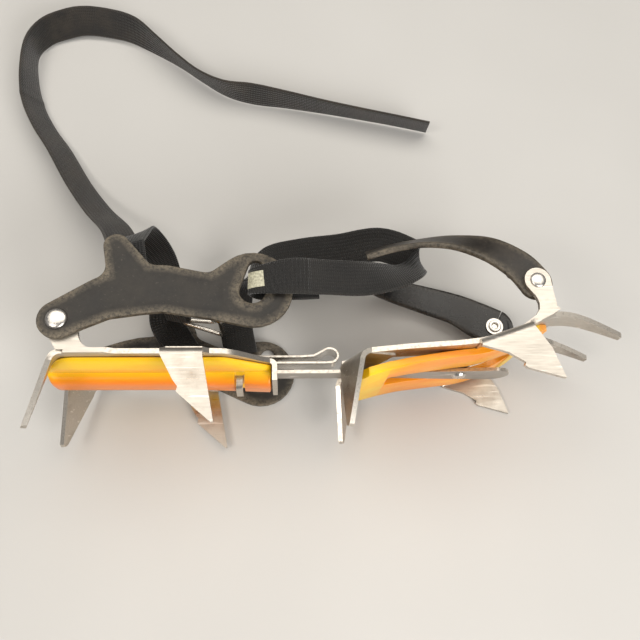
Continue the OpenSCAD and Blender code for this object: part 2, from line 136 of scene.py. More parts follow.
class Shader:
    """A material under construction: short names for adding and joining its nodes."""

    def __init__(self, name, metallic=0.0, **inputs):
        self.material = bpy.data.materials.new(name)
        self.material.use_nodes = True
        self.tree = self.material.node_tree
        self.bsdf = self.tree.nodes["Principled BSDF"]
        self.bsdf.inputs["Metallic"].default_value = metallic
        for key, value in inputs.items():
            self.bsdf.inputs[key.replace("_", " ")].default_value = value
        self.coordinates = self.node("ShaderNodeTexCoord").outputs["Object"]

    def node(self, kind, **settings):
        made = self.tree.nodes.new(kind)
        for key, value in settings.items():
            setattr(made, key, value)
        return made

    def join(self, source, target):
        self.tree.links.new(source, target)

    def value(self, target, source):
        """Sets an input from a number, a colour or another node's output."""
        if isinstance(source, bpy.types.NodeSocket):
            self.join(source, target)
        else:
            target.default_value = source

    def math(self, operation, a, b=0.0, clamp=False):
        made = self.node("ShaderNodeMath", operation=operation, use_clamp=clamp)
        self.value(made.inputs[0], a)
        self.value(made.inputs[1], b)
        return made.outputs[0]

    def noise(self, scale, stretch=(1, 1, 1), detail=4.0, roughness=0.55, source=None):
        mapping = self.node("ShaderNodeMapping")
        mapping.inputs["Scale"].default_value = stretch
        self.join(source or self.coordinates, mapping.inputs["Vector"])
        made = self.node("ShaderNodeTexNoise")
        made.inputs["Scale"].default_value = scale
        made.inputs["Detail"].default_value = detail
        made.inputs["Roughness"].default_value = roughness
        self.join(mapping.outputs["Vector"], made.inputs["Vector"])
        return made.outputs["Fac"]

    def ramp(self, source, stops):
        made = self.node("ShaderNodeValToRGB")
        elements = made.color_ramp.elements
        while len(elements) < len(stops):
            elements.new(0.5)
        for element, (position, colour) in zip(elements, stops):
            element.position = position
            element.color = (*colour, 1) if len(colour) == 3 else colour
        self.join(source, made.inputs["Fac"])
        return made.outputs["Color"]

    def span(self, source, low, high, to_low=0.0, to_high=1.0):
        made = self.node("ShaderNodeMapRange")
        self.join(source, made.inputs["Value"])
        for key, value in zip(("From Min", "From Max", "To Min", "To Max"),
                              (low, high, to_low, to_high)):
            made.inputs[key].default_value = value
        return made.outputs["Result"]

    def mix(self, factor, a, b):
        made = self.node("ShaderNodeMix", data_type="RGBA")
        self.value(made.inputs[0], factor)
        for socket, source in ((made.inputs[6], a), (made.inputs[7], b)):
            if isinstance(source, tuple):
                source = (*source, 1)
            self.value(socket, source)
        return made.outputs[2]

    def attribute(self, name):
        return self.node("ShaderNodeAttribute", attribute_name=name)

    def bump(self, height, distance, strength=1.0):
        made = self.node("ShaderNodeBump")
        made.inputs["Strength"].default_value = strength
        made.inputs["Distance"].default_value = distance
        self.join(height, made.inputs["Height"])
        previous = self.bsdf.inputs["Normal"].links
        if previous:
            self.join(previous[0].from_socket, made.inputs["Normal"])
        self.join(made.outputs["Normal"], self.bsdf.inputs["Normal"])

    def colour(self, source):
        self.join(source, self.bsdf.inputs["Base Color"])

    def roughness(self, source):
        self.join(source, self.bsdf.inputs["Roughness"])


def steel_material(name, light, dark, stretch, rough=(0.26, 0.46)):
    """Satin steel: fine brushing along one direction, broad tarnish and a few scratches."""
    m = Shader(name, metallic=1.0)
    brushing = m.noise(900, stretch, detail=3)
    tarnish = m.noise(38, detail=6, roughness=0.62)
    scratches = m.noise(260, (0.15, 2.2, 1.0), detail=2)
    base = m.ramp(tarnish, [(0.3, dark), (0.5, light), (0.75, light)])
    base = m.mix(m.span(brushing, 0.35, 0.75, 0, 0.2), base, dark)
    m.colour(m.mix(m.span(scratches, 0.66, 0.7, 0, 0.5), base, (0.93, 0.9, 0.86)))
    m.roughness(m.span(m.math("ADD", brushing, tarnish), 0.7, 1.3, *rough))
    m.bump(brushing, 0.00002)
    m.bump(tarnish, 0.00008)
    return m.material


def edge_material():
    """Lighter, smoother steel for the rounded corners and cut edges: a painted highlight for the
    gleam along the edges, together with the polish that boots and rock have given them.
    """
    m = Shader("steel_edge", metallic=1.0)
    nicks = m.noise(700, detail=3)
    m.colour(m.ramp(nicks, [(0.3, (0.48, 0.44, 0.39)), (0.5, (0.66, 0.61, 0.54))]))
    m.roughness(m.span(nicks, 0.3, 0.7, 0.42, 0.3))
    m.bump(nicks, 0.000015)
    return m.material


def plastic_material(name):
    """Glossy moulded plastic with scuffs. Its colour carries painted shade: lit yellow on the outer
    lobes, darker orange lower down and in the groove, salmon on the underside, where it is also
    worn grey.
    The attribute it reads goes from 0 on the lobes to 1 on the underside."""
    m = Shader(name, Coat_Weight=0.12, Coat_Roughness=0.2, Subsurface_Weight=0.06,
               Subsurface_Scale=0.004)
    m.bsdf.inputs["Subsurface Radius"].default_value = (1.0, 0.4, 0.1)
    painted_shade_and_wear = m.attribute("painted_shade_and_wear").outputs["Fac"]
    flow = m.noise(60, (0.25, 1.5, 1), detail=5)
    shade = m.math("ADD", painted_shade_and_wear, m.span(flow, 0.3, 0.7, -0.16, 0.16))
    # Painted shade: lit yellow on the lobes, darker orange and salmon lower down on the underside
    base = m.ramp(shade, [(0.12, (1.0, 0.60, 0.004)), (0.42, (1.0, 0.38, 0.003)),
                          (0.7, (0.88, 0.22, 0.012)), (0.95, (0.80, 0.26, 0.07))])
    scuff = m.noise(120, (0.12, 1.2, 0.9), detail=8, roughness=0.7)
    worn = m.math("MULTIPLY", m.span(scuff, 0.56, 0.66), m.span(painted_shade_and_wear, 0.55, 0.95))
    base = m.mix(m.math("MULTIPLY", worn, 0.75), base, (0.27, 0.23, 0.17))
    dirt = m.noise(700, detail=6, roughness=0.7)
    m.colour(m.mix(m.span(dirt, 0.62, 0.75, 0, 0.35), base, (0.5, 0.2, 0.03)))
    m.roughness(m.math("ADD", m.span(flow, 0.2, 0.8, 0.26, 0.4), m.math("MULTIPLY", worn, 0.3)))
    m.bump(scuff, 0.00022)
    m.bump(dirt, 0.00004)
    return m.material


def mould_material(name, base, dusty, rough, wear=1.0):
    """Moulded rubbery plastic with dust in its grain, and an edge band rubbed pale.
    The attribute edge is the distance from the moulding's outline, in metres."""
    m = Shader(name, Specular_IOR_Level=0.45)
    edge = m.attribute("edge").outputs["Fac"]
    grain = m.noise(1500, detail=4, roughness=0.6)
    dust = m.noise(75, detail=8, roughness=0.68)
    colour = m.mix(m.span(dust, 0.38, 0.68), base, dusty)
    speck = m.noise(620, detail=6, roughness=0.75)
    colour = m.mix(m.span(speck, 0.6, 0.7, 0, 0.35), colour, (0.2, 0.17, 0.13))
    near_edge = m.span(edge, 0.0005, 0.0042, 1.0, 0.0)
    patchy = m.math("MULTIPLY", near_edge, m.span(dust, 0.3, 0.62, 0.3, 1.0))
    rubbed = m.math("MULTIPLY", patchy, m.span(speck, 0.36, 0.56), clamp=True)
    rubbed = m.math("MULTIPLY", rubbed, 0.62 * wear)
    m.colour(m.mix(rubbed, colour, (0.30, 0.25, 0.18)))
    m.roughness(m.math("ADD", m.span(dust, 0.35, 0.7, rough, rough + 0.16),
                       m.math("MULTIPLY", rubbed, 0.25)))
    m.bump(grain, 0.00005)
    m.bump(speck, 0.0001)
    return m.material


def webbing_material(name, base, light, dust=0.35, gloss=0.6):
    """Woven tape: rows of slanting threads across the width and a plain selvage.
    The attribute strip holds the place along the tape and across it, in metres, and the side."""
    m = Shader(name, Sheen_Weight=0.3, Sheen_Roughness=0.4)
    parts = m.node("ShaderNodeSeparateXYZ")
    m.join(m.attribute("strip").outputs["Vector"], parts.inputs[0])
    along, across = parts.outputs[0], parts.outputs[1]
    thread = 2 * math.pi / 0.00115
    column = 2 * math.pi / 0.0019
    zigzag = m.math("ABSOLUTE", m.math("SINE", m.math("MULTIPLY", across, column / 2)))
    slanted = m.math("ADD", m.math("MULTIPLY", along, thread), m.math("MULTIPLY", zigzag, 2.4))
    weft = m.math("SINE", slanted)
    warp = m.math("POWER", zigzag, 0.6)
    height = m.math("MULTIPLY", m.math("ADD", weft, 1.4), warp)
    fibre = m.noise(2600, detail=3)
    patchy = m.noise(55, detail=7, roughness=0.65)
    # Painted shade: the threads are darker where they lie low in the weave
    thread_colour = m.mix(m.span(height, 0.2, 2.2, 0, 0.75), tuple(0.45 * c for c in base), base)
    thread_colour = m.mix(m.span(patchy, 0.42, 0.7, 0, dust), thread_colour, light)
    selvage = m.span(m.math("ABSOLUTE", across), 0.0078, 0.0094)
    thread_colour = m.mix(m.math("MULTIPLY", selvage, 0.35), thread_colour, light)
    m.colour(m.mix(m.span(fibre, 0.58, 0.75, 0, 0.3), thread_colour, light))
    m.roughness(m.span(patchy, 0.3, 0.7, gloss, gloss + 0.25))
    m.bump(height, 0.00016)
    m.bump(fibre, 0.00005)
    return m.material


def patch_material():
    """Pale printed patch on the sewn fold, plain and without any mark."""
    m = Shader("pale_patch", Roughness=0.5)
    grain = m.noise(900, detail=5)
    m.colour(m.ramp(grain, [(0.3, (0.30, 0.28, 0.2)), (0.6, (0.62, 0.6, 0.45))]))
    m.bump(grain, 0.00008)
    return m.material


def floor_material():
    m = Shader("floor", Roughness=0.85)
    cloudy = m.noise(3.0, detail=3)
    m.colour(m.ramp(cloudy, [(0.3, (0.56, 0.55, 0.53)), (0.7, (0.62, 0.61, 0.59))]))
    m.bump(m.noise(240, detail=4), 0.0002, 0.3)
    return m.material


def make_materials():
    return {
        "frame_steel": steel_material("frame_steel", (0.60, 0.56, 0.50), (0.36, 0.31, 0.26),
                                      (0.12, 1.6, 1)),
        "bar_steel": steel_material("bar_steel", (0.50, 0.47, 0.43), (0.30, 0.27, 0.24),
                                    (0.05, 1.5, 1.5), (0.3, 0.5)),
        "spring_steel": steel_material("spring_steel", (0.64, 0.61, 0.56), (0.42, 0.38, 0.34),
                                       (0.08, 1.4, 1), (0.16, 0.32)),
        "rivet_steel": steel_material("rivet_steel", (0.74, 0.71, 0.66), (0.54, 0.48, 0.42),
                                      (1, 1, 1), (0.22, 0.38)),
        "edge_steel": edge_material(),
        "antiball_plastic": plastic_material("antiball_plastic"),
        "arm_mould": mould_material("arm_mould", (0.013, 0.011, 0.009), (0.036, 0.031, 0.025),
                                    0.46),
        "strap_mould": mould_material("strap_mould", (0.015, 0.012, 0.009),
                                      (0.042, 0.034, 0.026), 0.36, wear=0.7),
        "glossy_mould": mould_material("glossy_mould", (0.009, 0.0085, 0.008),
                                       (0.022, 0.019, 0.017), 0.2, wear=0.2),
        "webbing": webbing_material("webbing", (0.010, 0.009, 0.008), (0.036, 0.033, 0.028)),
        "tail_webbing": webbing_material("tail_webbing", (0.016, 0.013, 0.0105),
                                         (0.062, 0.05, 0.038), dust=0.55),
        "strap_webbing": webbing_material("strap_webbing", (0.010, 0.010, 0.010),
                                          (0.035, 0.033, 0.03), gloss=0.36),
        "patch": patch_material(),
        "floor": floor_material(),
    }


# ---------------------------------------------------------------- mesh helpers

def new_object(name, mesh, materials):
    made = bpy.data.objects.new(name, mesh)
    bpy.context.scene.collection.objects.link(made)
    mesh.materials.clear()
    for material in materials:
        mesh.materials.append(material)
    return made


def closed_mesh(name, vertices, faces):
    """A mesh of a closed surface, with its faces turned outwards."""
    mesh = bpy.data.meshes.new(name)
    mesh.from_pydata(vertices, [], faces)
    bm = bmesh.new()
    bm.from_mesh(mesh)
    bmesh.ops.recalc_face_normals(bm, faces=bm.faces)
    bm.to_mesh(mesh)
    bm.free()
    return mesh


def set_attribute(obj, name, values, kind="FLOAT"):
    attribute = obj.data.attributes.new(name, kind, "POINT")
    key = "vector" if kind == "FLOAT_VECTOR" else "value"
    attribute.data.foreach_set(key, np.asarray(values, np.float32).ravel())


def coordinates(mesh):
    flat = np.zeros(len(mesh.vertices) * 3, np.float32)
    mesh.vertices.foreach_get("co", flat)
    return flat.reshape(-1, 3).astype(float)


def vertex_normals(mesh):
    flat = np.zeros(len(mesh.vertices) * 3, np.float32)
    mesh.vertices.foreach_get("normal", flat)
    return flat.reshape(-1, 3)


def shift(mesh, axis, offsets):
    """Moves each vertex along one axis by its own offset, in millimetres."""
    moved = coordinates(mesh)
    moved[:, axis] += offsets * MM
    mesh.vertices.foreach_set("co", moved.astype(np.float32).ravel())
    mesh.update()


def working(mesh):
    """A mesh's vertices in the working axes, in millimetres."""
    return coordinates(mesh) / MM + np.array([CENTRE_X, CENTRE_Y, -MID_Z])


def apply_modifiers(obj):
    """Bakes an object's modifiers into its mesh."""
    graph = bpy.context.evaluated_depsgraph_get()
    graph.update()
    mesh = bpy.data.meshes.new_from_object(obj.evaluated_get(graph))
    old = obj.data
    obj.modifiers.clear()
    obj.data = mesh
    bpy.data.meshes.remove(old)


def shade(obj, angle=38):
    """Smooth shading that keeps the corners sharper than angle degrees."""
    for polygon in obj.data.polygons:
        polygon.use_smooth = True
    obj.data.set_sharp_from_angle(angle=math.radians(angle))


def is_cut_edge(face):
    """True for a thin face that runs along the cut edge of a sheet."""
    mean_width = 2 * face.calc_area() / sum(edge.calc_length() for edge in face.edges)
    if mean_width > 2.7 * MM:
        return False
    long_edges = [e for e in face.edges if e.calc_length() > 3.0 * MM]
    return all(e.calc_face_angle(0) > 0.7 for e in long_edges)


def rounded_copy(node, name, materials, width, segments=2, cuts=None):
    """A copy of a CAD node with rounded corners. Where two materials are given, the second goes
    on the rounded corners and on the thin cut edges of the sheet. cuts is the spacing of a grid
    that splits its large faces."""
    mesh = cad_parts[node].data.copy()
    bm = bmesh.new()
    bm.from_mesh(mesh)
    bmesh.ops.remove_doubles(bm, verts=bm.verts, dist=2e-6)
    bmesh.ops.dissolve_limit(bm, angle_limit=math.radians(1.0), verts=bm.verts, edges=bm.edges)
    cut_edges = [is_cut_edge(face) for face in bm.faces]
    bm.to_mesh(mesh)
    bm.free()
    obj = new_object(name, mesh, materials)
    # On the steel the second material is lighter: a painted highlight along the corners and cut
    # edges, with their polish
    for polygon, worn in zip(mesh.polygons, cut_edges):
        polygon.material_index = int(worn and len(materials) > 1)
    bevel = obj.modifiers.new("bevel", "BEVEL")
    bevel.width = width * MM
    bevel.segments = segments
    bevel.limit_method = "ANGLE"
    bevel.angle_limit = math.radians(34)
    bevel.miter_outer = "MITER_ARC"
    if len(materials) > 1:
        bevel.material = 1
    apply_modifiers(obj)
    if cuts:
        cut_grid(obj, cuts)
    shade(obj)
    if not cuts:
        weighted = obj.modifiers.new("weighted", "WEIGHTED_NORMAL")
        weighted.keep_sharp = True
        weighted.weight = 100
        apply_modifiers(obj)
    return obj


def cut_grid(obj, spacing):
    """Splits an object's faces along planes across x and y, so that its large flat faces have
    vertices to carry relief and wear."""
    bm = bmesh.new()
    bm.from_mesh(obj.data)
    for axis in (0, 1):
        values = [v.co[axis] for v in bm.verts]
        step = spacing * MM
        place_at = math.floor(min(values) / step) * step + step
        while place_at < max(values):
            normal = Vector((axis == 0, axis == 1, 0))
            point = normal * place_at
            geometry = bm.verts[:] + bm.edges[:] + bm.faces[:]
            bmesh.ops.bisect_plane(bm, geom=geometry, plane_co=point, plane_no=normal,
                                   dist=1e-7)
            place_at += step
    bmesh.ops.triangulate(bm, faces=[f for f in bm.faces if len(f.verts) > 4])
    bm.to_mesh(obj.data)
    bm.free()


def finish_piece(obj, body, nodes=()):
    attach(obj, body)
    if nodes:
        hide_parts(*nodes)


# ---------------------------------------------------------------- strips of webbing and mould

def smooth_rows(rows, steps):
    """Catmull-Rom curve through rows of numbers, as in part.scad."""
    rows = np.array(rows, float)
    last = len(rows) - 1
    made = []
    for i in range(last):
        a, b = rows[max(i - 1, 0)], rows[i]
        c, d = rows[i + 1], rows[min(i + 2, last)]
        for k in range(steps):
            t = k / steps
            made.append(b + (c - a) * t / 2 + (2 * a - 5 * b + 4 * c - d) * t * t / 2
                        + (3 * b - a - 3 * c + d) * t ** 3 / 2)
    made.append(rows[last])
    return np.array(made)


def even_rows(rows, spacing):
    """Rows along the smooth curve, one every spacing millimetres."""
    fine = smooth_rows(rows, 24)
    steps = np.linalg.norm(np.diff(fine[:, :3], axis=0), axis=1)
    reach = np.concatenate([[0], np.cumsum(steps)])
    count = max(3, round(reach[-1] / spacing) + 1)
    at = np.linspace(0, reach[-1], count)
    return np.stack([np.interp(at, reach, fine[:, k]) for k in range(fine.shape[1])], 1), at


def strip_frames(rows):
    """The directions along, across and out of a strip at each row."""
    along = np.gradient(rows[:, :3], axis=0)
    along /= np.linalg.norm(along, axis=1, keepdims=True)
    across = rows[:, 3:6]
    face = np.cross(along, across)
    face /= np.linalg.norm(face, axis=1, keepdims=True)
    return along, np.cross(face, along), face


def strip_section(flat_count=9, edge_count=3):
    """Section of a flat strip with round edges: places across it (-1 to 1) and the side
    (-1 to 1), going once round."""
    flat = np.linspace(-0.93, 0.93, flat_count)
    turn = np.linspace(90, -90, edge_count + 2)[1:-1]
    right = [(0.93 + 0.07 * math.cos(math.radians(a)), math.sin(math.radians(a))) for a in turn]
    upper = [(x, 1.0) for x in flat]
    lower = [(-x, -1.0) for x in flat]
    left = [(-x, -y) for x, y in right]
    return np.array(upper + right + lower + left)


def strip_mesh(name, rows, thickness, material, spacing=1.0, relief=None, flat_count=9):
    """A strip swept along rows of [x, y, s, direction of its width, width]. relief(u, v, side,
    points) gives how far each point stands out of its face, in millimetres."""
    rows, reach = even_rows(rows, spacing)
    _, across, face = strip_frames(rows)
    section = strip_section(flat_count)
    n = len(section)
    half = rows[:, 6] / 2
    v = section[None, :, 0] * half[:, None]
    out = section[None, :, 1] * thickness / 2 * np.ones_like(v)
    u = np.repeat(reach[:, None], n, axis=1)
    side = np.repeat(section[None, :, 1], len(rows), axis=0)
    centre = rows[:, None, :3]
    if relief is not None:
        points = centre + across[:, None] * v[..., None] + face[:, None] * out[..., None]
        out = out + relief(u, v, side, points) * np.sign(side)
    points = centre + across[:, None] * v[..., None] + face[:, None] * out[..., None]
    flat = points.reshape(-1, 3)
    vertices = [place(*p) for p in flat]
    faces = []
    for i in range(len(rows) - 1):
        for k in range(n):
            m = (k + 1) % n
            faces.append((i * n + k, i * n + m, (i + 1) * n + m, (i + 1) * n + k))
    faces.append(tuple(range(n))[::-1])
    faces.append(tuple((len(rows) - 1) * n + k for k in range(n)))
    obj = new_object(name, closed_mesh(name, vertices, faces), [material])
    strip = np.stack([u * MM, v * MM, side], -1).reshape(-1, 3)
    set_attribute(obj, "strip", strip, "FLOAT_VECTOR")
    edge = (half[:, None] - np.abs(v)).ravel() * MM
    set_attribute(obj, "edge", edge)
    shade(obj, 60)
    return obj, rows


# ---------------------------------------------------------------- loose end of the strap

# Points of x and y in the working axes and height above the floor, and the tilt of the tape's
# width at each, in degrees from level
TAIL_ROUTE = [(-100.5, 55, 48), (-108, 70.5, 40), (-116.5, 87, 30), (-130.5, 104, 20),
              (-146, 126, 13), (-161.5, 152, 10.2), (-173, 169, 9.8), (-182, 187, 10),
              (-187, 208, 10.6), (-188, 230, 11), (-181, 244, 10.5), (-170, 252, 9.5),
              (-156, 256, 9.5), (-138, 254, 9.5), (-122, 248, 10.5), (-106, 236, 11),
              (-90, 223, 11), (-74, 210, 11), (-58, 201, 11), (-40, 197, 11), (-18, 193, 11),
              (6, 188, 11), (30, 183, 11), (54, 178, 11), (76, 173, 11)]
TAIL_EDGE = [34, 36, 38, 42, 45, 48, 52, 58, 70, 80, 70, 54, 46, 50, 62, 84, 100, 104, 96, 84,
             92, 100, 104, 106, 106]


def tail_rows():
    route = np.array(TAIL_ROUTE, float)
    rows = []
    for i, point in enumerate(route):
        along = route[min(i + 1, len(route) - 1)] - route[max(i - 1, 0)]
        level = np.cross([0, 0, 1], along)
        level /= np.linalg.norm(level)
        angle = math.radians(TAIL_EDGE[i])
        across = level * math.cos(angle) + np.array([0, 0, 1]) * math.sin(angle)
        rows.append([point[0], point[1], point[2] - MID_Z, *across, WEB_WIDTH])
    return rows


def make_tail(materials):
    def relief(u, v, side, points):
        # The tape cups a little, and is creased where it was folded by its loop
        crease = 0.35 * np.exp(-((u - 168) / 2.2) ** 2)
        return crease - 0.12 * smooth_step((np.abs(v) - 7.6) / 1.2)

    tail, rows = strip_mesh("webbing_tail_tape", tail_rows(), WEB_THICK,
                            materials["tail_webbing"], spacing=1.5, relief=relief)
    finish_piece(tail, "heel_harness", ["webbing_tail"])
    path = [place(*row[:3]) for row in rows[::4]]
    if (path[-1] - place(*rows[-1][:3])).length > 1e-6:
        path.append(place(*rows[-1][:3]))


# ---------------------------------------------------------------- steel

def make_steel(materials):
    steel, edge = materials["frame_steel"], materials["edge_steel"]
    for node, body in (("heel_frame", "heel_section"), ("toe_frame", "toe_section")):
        obj = rounded_copy(node, node + "_steel", [steel, edge], 0.42)
        finish_piece(obj, body, [node])
    obj = rounded_copy("plate_clip", "plate_clip_steel", [steel, edge], 0.15)
    finish_piece(obj, "heel_section", ["plate_clip"])
    obj = rounded_copy("linking_bar", "linking_bar_steel",
                       [materials["bar_steel"], edge], 0.25)
    finish_piece(obj, "toe_section", ["linking_bar"])
    for node in ("adjuster_lever", "adjuster_pin"):
        obj = rounded_copy(node, node + "_steel", [materials["spring_steel"], edge], 0.18)
        finish_piece(obj, "adjuster", [node])
    riveted = {"lever_rivet": "adjuster", "bar_rivet": "toe_section",
               "toe_washer_near": "toe_section", "toe_washer_far": "toe_section"}
    for node, body in riveted.items():
        obj = rounded_copy(node, node + "_steel", [materials["rivet_steel"]], 0.22, 3)
        finish_piece(obj, body, [node])


def lathe(name, profile, centre, up, material, sides=40):
    """A turned piece about an axis along s, from a profile of [radius, height]. up is +1 or -1,
    the way its height goes."""
    vertices, faces = [], []
    for radius, height in profile:
        for k in range(sides):
            angle = 2 * math.pi * k / sides
            vertices.append(place(centre[0] + radius * math.cos(angle),
                                  centre[1] + radius * math.sin(angle),
                                  centre[2] + up * height))
    for i in range(len(profile) - 1):
        for k in range(sides):
            m = (k + 1) % sides
            faces.append((i * sides + k, i * sides + m, (i + 1) * sides + m,
                          (i + 1) * sides + k))
    faces.append(tuple(range(sides)))
    faces.append(tuple((len(profile) - 1) * sides + k for k in range(sides)))
    obj = new_object(name, closed_mesh(name, vertices, faces), [material])
    shade(obj)
    return obj


def make_rivets(materials):
    """Domed rivets, with the tubular end that is rolled over on the boot's side."""
    steel = materials["rivet_steel"]
    rows = [("heel_rivet_near", HEEL_PIVOT, 34.5, 40.2, 1, 5.0, "heel_section"),
            ("heel_rivet_far", HEEL_PIVOT, 34.5, 40.2, -1, 5.0, "heel_section"),
            ("toe_rivet_near", TOE_PIVOT, 32.5, 39.0, 1, 3.9, "toe_section"),
            ("toe_rivet_far", TOE_PIVOT, 32.5, 39.0, -1, 3.9, "toe_section")]
    for node, pivot, inner, outer, way, head, body in rows:
        end = [(1.5, inner + 0.3), (1.6, inner - 0.4), (2.0, inner - 0.95),
               (2.7, inner - 1.15), (3.4, inner - 0.95), (3.75, inner - 0.4),
               (3.75, inner - 0.05), (2.5, inner)]
        dome = [(head * r, outer + head * h) for r, h in (
            (1, 0.01), (1, 0.06), (0.98, 0.13), (0.92, 0.2), (0.8, 0.265), (0.64, 0.31),
            (0.45, 0.34), (0.25, 0.355), (0.08, 0.36))]
        obj = lathe(node + "_turned", end + [(2.5, outer)] + dome, (*pivot, 0), way, steel)
        finish_piece(obj, body, [node])


def wire_ring(name, pivot, long, reach, turn, material):
    """A ring of round wire with round corners, standing across the sole."""
    corner, sides = 3.0, 20
    corners = [(corner, -long / 2 + corner, 180), (reach - corner, -long / 2 + corner, 270),
               (reach - corner, long / 2 - corner, 0), (corner, long / 2 - corner, 90)]
    line = []
    for x, s, start in corners:
        for k in range(9):
            angle = math.radians(start + 90 * k / 8)
            line.append((x + corner * math.cos(angle), s + corner * math.sin(angle)))
    line = np.array(line)
    tangent = np.roll(line, -1, 0) - np.roll(line, 1, 0)
    tangent /= np.linalg.norm(tangent, axis=1, keepdims=True)
    normal = np.stack([tangent[:, 1], -tangent[:, 0]], 1)
    angle = math.radians(turn)
    vertices, faces = [], []
    for (x, s), (nx, ns) in zip(line, normal):
        for k in range(sides):
            a = 2 * math.pi * k / sides
            px = x + nx * WIRE_R * math.cos(a)
            ps = s + ns * WIRE_R * math.cos(a)
            py = WIRE_R * math.sin(a)
            vertices.append(place(pivot[0] + px * math.cos(angle) - py * math.sin(angle),
                                  pivot[1] + px * math.sin(angle) + py * math.cos(angle),
                                  pivot[2] + ps))
    count = len(line)
    for i in range(count):
        for k in range(sides):
            j, m = (i + 1) % count, (k + 1) % sides
            faces.append((i * sides + k, j * sides + k, j * sides + m, i * sides + m))
    obj = new_object(name, closed_mesh(name, vertices, faces), [material])
    shade(obj)
    return obj


def make_rings(materials):
    wide = wire_ring("ring_wide_wire", (-78, 35.6, -18), 25.4, 25.4, -18,
                     materials["spring_steel"])
    finish_piece(wide, "ring_wide", ["buckle_ring_wide"])
    narrow = wire_ring("ring_narrow_wire", (-74.6, 35.6, -18), 19, 16.4, -4,
                       materials["spring_steel"])
    finish_piece(narrow, "ring_narrow", ["buckle_ring_narrow"])


# ---------------------------------------------------------------- antiball plates

def curve_through(stations, x):
    xs, ys = zip(*stations)
    return float(np.interp(x, xs, ys))


def heel_plate_half_width(x):
    return curve_through([(-139.5, 6.5), (-138.5, 9.6), (-136.5, 12), (-133, 17.5),
                          (-129.5, 22.5), (-126.5, 26.5), (-123.5, 28.8), (-118, 29.6),
                          (-50, 29.6), (-46, 28.6), (-40, 24.6), (-31, 18.4), (-26.4, 14.8),
                          (-25.5, 13.6)], x)


def heel_plate_lower(x, s, half):
    """Level of the plate's moulded underside: a rounded lobe on each side, a groove, and the
    housing of the bar along the middle."""
    end = float(smooth_step(min((x + 139.5) / 4.5, (-25.0 - x) / 2.0 + 0.35)))
    t = min(abs(s) / half, 1.0)
    lobe = 3.3 * math.sqrt(max(1 - t ** 5, 0.0))
    groove = 0.9 * math.exp(-((abs(s) - 11.2) / 1.5) ** 2)
    crown = 0.7 * math.exp(-((abs(s) - 19) / 5.0) ** 2)
    depth = curve_through([(-139.5, 2.2), (-134, 4.6), (-60, 4.9), (-25, 6.4)], x)
    ridge = depth * max(1 - (abs(s) / 9.3) ** 4, 0.0) ** 0.55
    return -2.8 - end * (lobe + crown * (1 - t ** 8) - groove + ridge)


def make_heel_plate(materials):
    """The heel plate as one grid of its underside and one of its upper side, closed at the
    rim. The bar's channel and the clip's slot are sunk into them."""
    slot = (-44.0, -39.0)
    xs = sorted(set([-139.5, -139.3, -139, -138.5, -137.8, -137, -136] +
                    [slot[0] - 0.05, slot[0] + 0.05, slot[1] - 0.05, slot[1] + 0.05] +
                    list(np.arange(-135, -27, 1.5)) +
                    [-110.05, -109.95, -27, -26.4, -26, -25.7, -25.5]))
    inner = [0, 1.6, 3.2, 4.8, 6.2, 6.35, 7.4, 8.3, 8.9, 9.25]
    outer = [math.sin(math.radians(90 * k / 16)) for k in range(1, 17)]
    rows_lower, rows_upper, painted_shade_rows = [], [], []
    for x in xs:
        half = heel_plate_half_width(x)
        start = min(9.4, half * 0.9)
        places = [min(a, start * a / 9.25) for a in inner]
        places += [start + (half - start) * t for t in outer]
        places = [-a for a in places[:0:-1]] + places
        lower, upper, painted_shade_and_wear = [], [], []
        for s in places:
            y = heel_plate_lower(x, s, half)
            if slot[0] < x < slot[1] and abs(s) < 10:
                y = -6.3
            level = -2.78
            if x > -110 and abs(s) < 6.3:
                level = -5.25
            rim = abs(s) / half
            if rim > 0.985:
                y = level - 0.9 * (1 - rim) / 0.015 * 0.2 - 0.55
            lower.append((x, min(y, level - 0.35), s))
            upper.append((x, level, s))
            # Painted shade: the colour darkens from the lit lobes down to the underside and in the
            # groove beside each lobe
            depth = (-y - 2.8) / 8.5
            painted_shade_and_wear.append(0.05 + 1.05 * max(depth - 0.25, 0) + 0.16 * math.exp(
                -((abs(s) - 11.2) / 1.6) ** 2))
        rows_lower.append(lower)
        rows_upper.append(upper)
        painted_shade_rows.append(painted_shade_and_wear)
    width, length = len(rows_lower[0]), len(xs)
    vertices = [place(*p) for row in rows_lower for p in row]
    vertices += [place(*p) for row in rows_upper for p in row]
    base = width * length
    faces = []
    for i in range(length - 1):
        for k in range(width - 1):
            a, b = i * width + k, i * width + k + 1
            faces.append((a, b, b + width, a + width))
            faces.append((base + a, base + a + width, base + b + width, base + b))
    ring = [k for k in range(width)]
    ring += [i * width + width - 1 for i in range(1, length)]
    ring += [(length - 1) * width + k for k in range(width - 2, -1, -1)]
    ring += [i * width for i in range(length - 2, 0, -1)]
    for a, b in zip(ring, ring[1:] + ring[:1]):
        faces.append((a, base + a, base + b, b))
    obj = new_object("heel_plate_moulding", closed_mesh("heel_plate", vertices, faces),
                     [materials["antiball_plastic"]])
    flat = [t for row in painted_shade_rows for t in row]
    set_attribute(obj, "painted_shade_and_wear", flat + [0.3] * base)
    shade(obj, 50)
    finish_piece(obj, "heel_section", ["heel_antiball_plate"])


